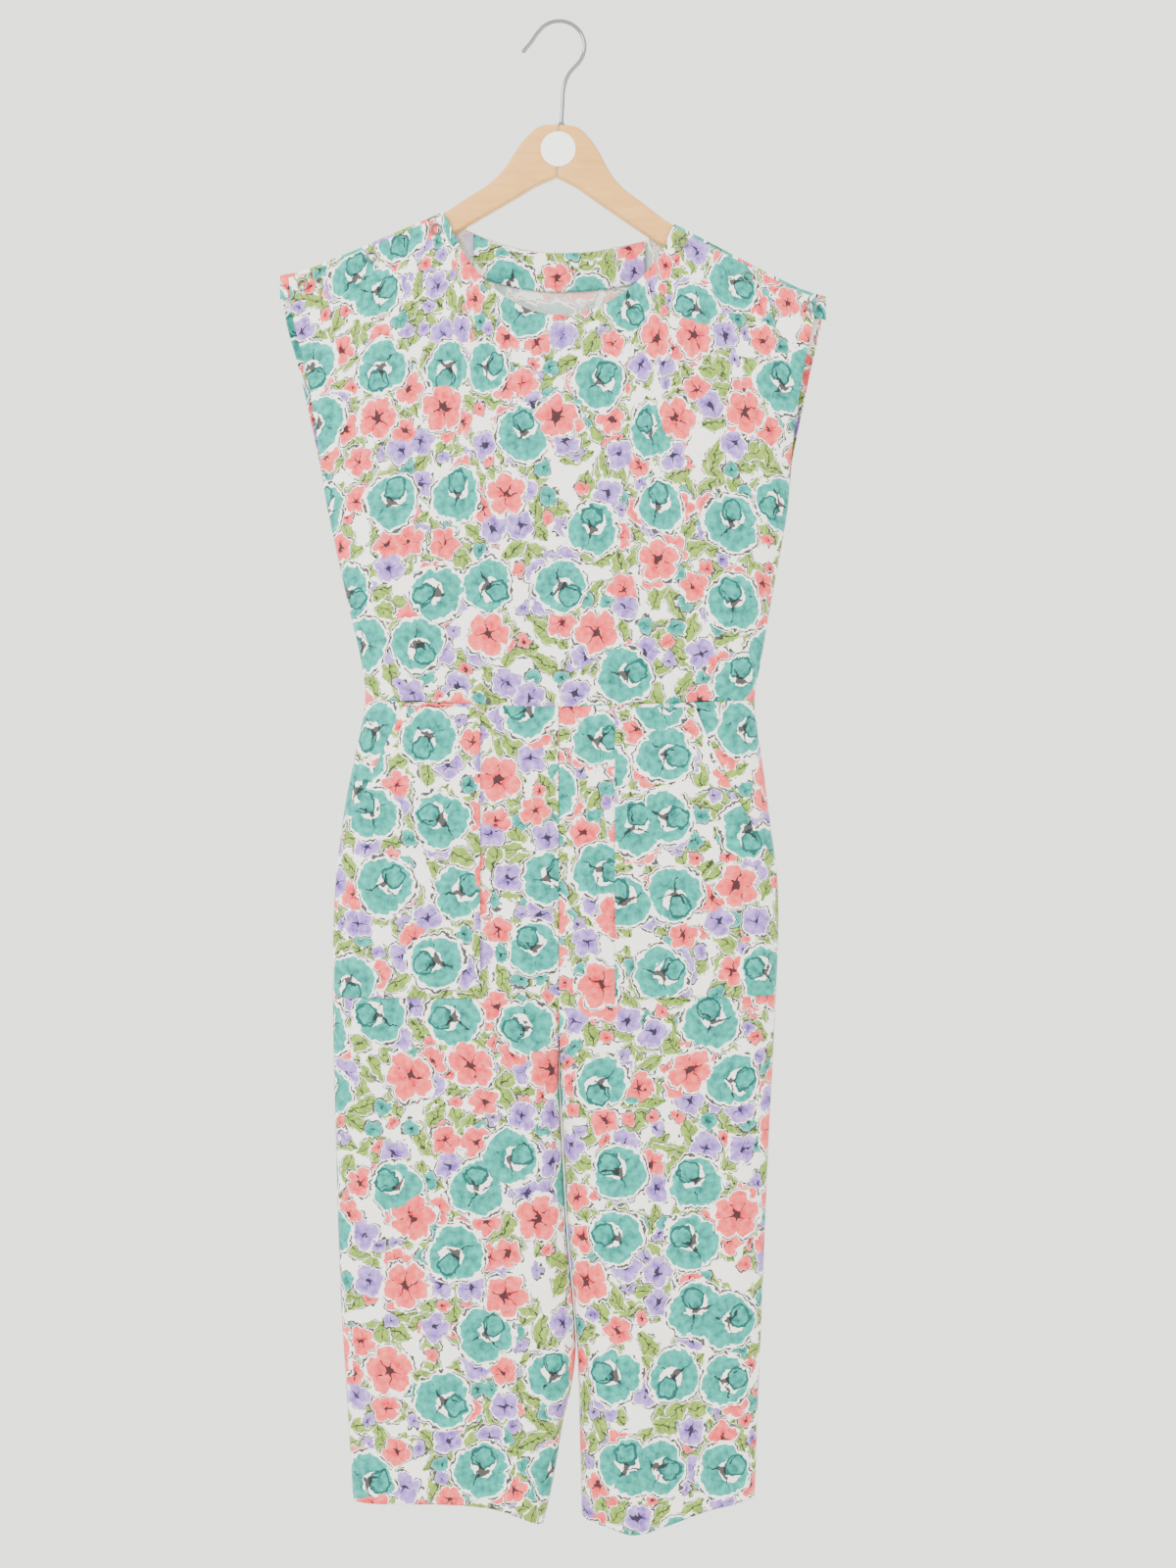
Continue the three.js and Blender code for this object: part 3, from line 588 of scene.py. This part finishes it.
def front_top(x):
    q = abs(x) / (NECK_HALF - 2)
    if q >= 1:
        return fold_top(x) - STRAP_SHOWS
    rise = fold_top(math.copysign(NECK_HALF - 2, x)) - STRAP_SHOWS - NECK_DIP
    return NECK_DIP + rise * (0.78 * q**2 + 0.22 * q**8)


def fold_corner(x):
    return min(4.5, 0.85 * fold_half(x))


def back_top(x):
    q = abs(x) / NECK_HALF
    place = x if q >= 1 else math.copysign(NECK_HALF, x)
    shoulder = fold_top(place) - fold_corner(place) - GAP
    return shoulder if q >= 1 else blend(BACK_NECK_DIP, shoulder, q**2)


def cloth_piece(name, node, columns, rows, rule, outward, print_shift,
                marks=None, lean=0, anchor=0.5):
    """A thin shell of cloth: a grid moved to its form by a rule of two shares, laid out flat
    in its own print coordinates, and given the cloth's thickness inwards. Lean lays a surface
    that turns level along the print, and anchor is the share of the width it is laid from."""
    bm = bmesh.new()
    turned = bm.verts.layers.float.new("turned")
    stitch = bm.verts.layers.float.new("stitch")
    flat = bm.loops.layers.uv.new("Flat")
    bmesh.ops.create_grid(bm, x_segments=columns, y_segments=rows, size=0.5)
    table = {}
    for vertex in bm.verts:
        i, j = round((vertex.co.x + 0.5) * columns), round((0.5 - vertex.co.y) * rows)
        table[j, i] = vertex
        vertex.co = rule(i / columns, j / rows)
    middle = round(anchor * columns)
    sign = 1 if table[0, columns].co.x > table[0, 0].co.x else -1
    length = {}
    for j in range(rows + 1):
        length[j, middle] = table[j, middle].co.x
        for step, stop in ((1, columns), (-1, 0)):
            for i in range(middle + step, stop + step, step):
                gone = (table[j, i].co - table[j, i - step].co).length
                length[j, i] = length[j, i - step] + sign * step * gone
    for (j, i), vertex in table.items():
        u, v = length[j, i], vertex.co.z - lean * vertex.co.y
        if marks:
            vertex[turned], vertex[stitch] = marks(vertex.co, i / columns, j / rows)
        for loop in vertex.link_loops:
            loop[flat].uv = ((u + print_shift[0]) * MM, (v + print_shift[1]) * MM)
    bm.normal_update()
    if sum((f.normal * f.calc_area() for f in bm.faces), Vector()).dot(outward) < 0:
        bmesh.ops.reverse_faces(bm, faces=bm.faces)
        bm.normal_update()
    bmesh.ops.scale(bm, verts=bm.verts, vec=(MM, MM, MM))
    piece = mesh_object(name, bm, right_side, wrong_side)
    wall = piece.modifiers.new("wall", "SOLIDIFY")
    wall.thickness = SHELL * MM
    wall.offset = -1
    wall.material_offset = 1
    wall.material_offset_rim = 0
    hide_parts(node)
    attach(piece, "root")
    return piece


def near(value, target, width):
    """One at the target, falling to nothing at the width on either side."""
    return max(0.0, 1 - abs(value - target) / width)


def bodice_rule(face):
    top = front_top if face == FRONT else back_top

    def rule(across, down):
        reach = bodice_edge(face, RIGHT if across < 0.5 else LEFT, SHOULDER_TIP[1])
        x = abs(reach) * math.sin(math.pi * (across - 0.5))
        x = blend(x, abs(reach) * (2 * across - 1), 0.55)
        side = side_of(x)
        z = blend(top(x), waist_at(x) - SEAM_LET_IN, down)
        return bodice_point(face, side, max(1 - x / bodice_edge(face, side, top(x)), 0), z)
    return rule


def bodice_marks(face):
    def marks(place, across, down):
        edge = abs(bodice_edge(face, side_of(place.x), place.z)) - abs(place.x)
        at_armhole = place.z > ARMHOLE_END
        turned = 1.0 if at_armhole and edge < ARMHOLE_TURNED else 0.0
        seam = near(place.z, waist_at(place.x) + 11, STITCH_WIDE)
        return turned, max(seam, near(edge, ARMHOLE_INSET, STITCH_WIDE) if at_armhole else 0)
    return marks


FORWARD = Vector((0, -1, 0))
BACKWARD = Vector((0, 1, 0))
cloth_piece("bodice_front_cloth", "bodice_front", 150, 130, bodice_rule(FRONT), FORWARD, (400, 0),
            bodice_marks(FRONT))
cloth_piece("bodice_back_cloth", "bodice_back", 150, 130, bodice_rule(BACK), BACKWARD, (1400, 233),
            bodice_marks(BACK))

# ---------------------------------------------------------------------------
# Shoulder extensions and back neck facing. Strips of the same cotton: the first two lie
# over the hanger and go under the front, and the third finishes the neck inside.
EXTENSION_DROP = 22
FACING_HALF = 78
FACING_DEPTH = 35
TRIM_LIFT = 1.35
for side, direction in (("right", -1), ("left", 1)):
    def extension_rule(across, down, direction=direction):
        reach = TIP_REACH[side_of(direction)]
        x = direction * blend(NECK_HALF, reach, across)
        half, top, corner = fold_half(x), fold_top(x), fold_corner(x)
        slope = corner * (1 - math.sqrt(0.5))
        section = [
            (-half, top - EXTENSION_DROP), (-half, top - EXTENSION_DROP / 2), (-half, top - corner),
            (-half + slope, top - slope), (-half + corner, top), (half - corner, top),
            (half - slope, top - slope), (half, top - corner),
        ]
        stretches = len(section) - 1
        k = min(int(down * stretches), stretches - 1)
        (y0, z0), (y1, z1) = section[k], section[k + 1]
        return Vector((x, blend(y0, y1, down * stretches - k), blend(z0, z1, down * stretches - k)))
    cloth_piece(f"shoulder_extension_{side}_cloth", f"shoulder_extension_{side}", 36, 21, extension_rule,
                Vector((0, 0, 1)), (700 + 300 * direction, 91),
                lean=1)


def facing_rule(across, down):
    x = blend(-FACING_HALF, FACING_HALF, across)
    z = back_top(x) - 1.5 - FACING_DEPTH * down
    side = side_of(x)
    place = bodice_point(BACK, side, 1 - abs(x) / abs(between(OUTLINE, side, z)), z)
    return place - Vector((0, CLOTH + TRIM_LIFT, 0))


def facing_marks(place, across, down):
    return 1.0, near(down, 0.93, 0.05)


facing = cloth_piece("back_neck_facing_cloth", "back_neck_facing", 60, 14, facing_rule, BACKWARD,
                     (2300, 120), facing_marks)
facing.data.materials[1] = right_side

# ---------------------------------------------------------------------------
# Trousers. Two fronts and two backs, gathered to the bodice at the waist, with a centre seam
# down to the crotch and soft round legs. The insides are heights and the legs' inner x; the
# hems are a share from side seam to inseam and the two hems' heights.
CURL_START = -895
CROTCH = -960
CROTCH_SHARE = 0.46
LEG_ROUND = 0.16
HEM_STITCH = -1313
INSEAM = (
    (-960, -0.15, 0.15), (-1006, 2, 2.8), (-1096, 7, 7.8), (-1149, 12, 12.8), (-1194, 15, 15.8),
    (-1214, 14, 17), (-1239, 10, 17.7), (-1263, 4, 18.3), (-1293, -1, 19), (-1331, -8, 20),
    (-1365, -16, 20),
)
HEMS = ((0, -1336, -1333), (0.25, -1335, -1340), (0.5, -1334, -1353), (0.7, -1338, -1360),
        (0.85, -1346, -1354), (1, -1357, -1349))


def trouser_point(face, side, share, z):
    """A place on a trouser panel; share 0 is the side seam, 1 the centre seam or inseam."""
    curl = smooth(CURL_START, CROTCH, z)
    inner = math.copysign(GAP / 2, side - 1.5) if z > CROTCH else between(INSEAM, side, z)
    x = blend(between(OUTLINE, side, z), inner, share)
    t = min((1 - share) / LEG_ROUND, 1)
    rounding = side_round(share) * blend(1, math.sqrt(1 - (1 - t) ** 2), curl)
    valley = 3 * smooth(WAIST, WAIST - 60, z) * math.exp(-((x / 7) ** 2)) * (1 - curl)
    folds = FRONT_FOLDS if face == FRONT else BACK_FOLDS
    relief = fold_rise(folds, x, z) + small_relief(x, z, face) - valley
    full = between(DEPTHS, face, z) - GAP / 2 + relief
    depth = GAP / 2 + full * rounding
    return Vector((x, -depth if face == FRONT else depth, z))


def trouser_rule(face, side):
    def rule(across, down):
        share = blend((1 - math.cos(math.pi * across)) / 2, across, 0.5)
        x = between(OUTLINE, side, WAIST) * (1 - share)
        hem = between(HEMS, side, share)
        if down < CROTCH_SHARE:
            z = blend(waist_at(x) + SEAM_LET_IN, CROTCH, down / CROTCH_SHARE)
        else:
            z = blend(CROTCH, hem, (down - CROTCH_SHARE) / (1 - CROTCH_SHARE))
        return trouser_point(face, side, share, z)
    return rule


def trouser_marks(place, across, down):
    return float(place.z < HEM_STITCH + 1), near(place.z, HEM_STITCH, STITCH_WIDE)


for face, face_name, outward in ((FRONT, "front", FORWARD), (BACK, "back", BACKWARD)):
    for side, side_name in ((RIGHT, "right"), (LEFT, "left")):
        cloth_piece(f"trouser_{face_name}_{side_name}_cloth", f"trouser_{face_name}_{side_name}", 64, 190,
                    trouser_rule(face, side), outward, (3000 + 900 * side + 377 * face, 61 * side),
                    trouser_marks, anchor=1)

# ---------------------------------------------------------------------------
# Patch pockets. Flat cotton patches sewn at their inner edge and foot, with a narrow hem along
# the slanted mouth. Each has its inner edge's x, its foot, and the mouth's x at heights.
POCKET_LIFT = 1.9
POCKETS = (
    (RIGHT, "right", -70, -880, ((-618, 139), (-658, 157), (-700, 176), (-745, 199))),
    (LEFT, "left", 50, -879, ((-618, 121), (-650, 134), (-700, 158), (-755, 192))),
)
for side, side_name, inner, foot, mouth in POCKETS:
    def pocket_rule(across, down, side=side, inner=inner, foot=foot, mouth=mouth):
        z = blend(waist_at(inner) - 2, foot, down)
        seam = abs(between(OUTLINE, side, z))
        outer = min(straight(mouth, z), seam) if z > mouth[-1][0] else seam
        reach = blend(outer, abs(inner), across ** 1.3)
        return trouser_point(FRONT, side, 1 - reach / seam, z) - Vector((0, POCKET_LIFT, 0))

    def pocket_marks(place, across, down, inner=inner, foot=foot):
        sewn = max(near(abs(place.x), abs(inner) + 3, 2), near(place.z, foot + 3, 2))
        return 1.0, max(sewn, near(across, 0.04, 0.02))

    cloth_piece(f"pocket_{side_name}_cloth", f"pocket_{side_name}", 56, 90, pocket_rule, FORWARD,
                (6100 + 500 * side, 210 * side),
                pocket_marks)

# ---------------------------------------------------------------------------
# Snaps. Silver open rings, three to a shoulder, of thin plated brass. They are pressed
# through the front near its top edge, and the fabric shows inside them.
SNAP_DROP = 15
SNAP_RADIUS = 4.4
SNAP_WIRE = 0.9
SNAP_LIFT = 1.3
silver, _, _ = new_material("nickel_plated_brass", Base_Color=linear("#777875"), Metallic=1.0,
                            Roughness=0.22)
SNAPS = {"right": (-111, -169, -231), "left": (111, 170, 227)}
for side_name, places in SNAPS.items():
    for number, x in enumerate(places, 1):
        side = side_of(x)
        height = fold_top(x) - SNAP_DROP
        reach = bodice_edge(FRONT, side, height)
        before, seat, after = (bodice_point(FRONT, side, 1 - (x + step) / reach, height)
                               for step in (-4, 0, 4))
        facing_way = (after - before).cross(Vector((0, 0, 1))).normalized()
        bm = bmesh.new()
        ring = bmesh.ops.create_circle(bm, segments=12, radius=SNAP_WIRE * MM)["verts"]
        bmesh.ops.translate(bm, verts=ring, vec=(SNAP_RADIUS * MM, 0, 0))
        for vertex in ring:
            vertex.co = (vertex.co.x, 0, vertex.co.y)
        bmesh.ops.spin(bm, geom=bm.verts[:] + bm.edges[:], cent=(0, 0, 0), axis=(0, 0, 1),
                       angle=2 * math.pi, steps=40, use_merge=True)
        bmesh.ops.recalc_face_normals(bm, faces=bm.faces)
        turn = facing_way.to_track_quat("Z", "Y").to_matrix()
        bmesh.ops.transform(bm, matrix=turn.to_4x4(), verts=bm.verts)
        bmesh.ops.translate(bm, verts=bm.verts, vec=(seat + facing_way * SNAP_LIFT) * MM)
        snap = mesh_object(f"snap_ring_{side_name}_{number}", bm, silver)
        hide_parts(f"snap_{side_name}_{number}")
        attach(snap, "root")
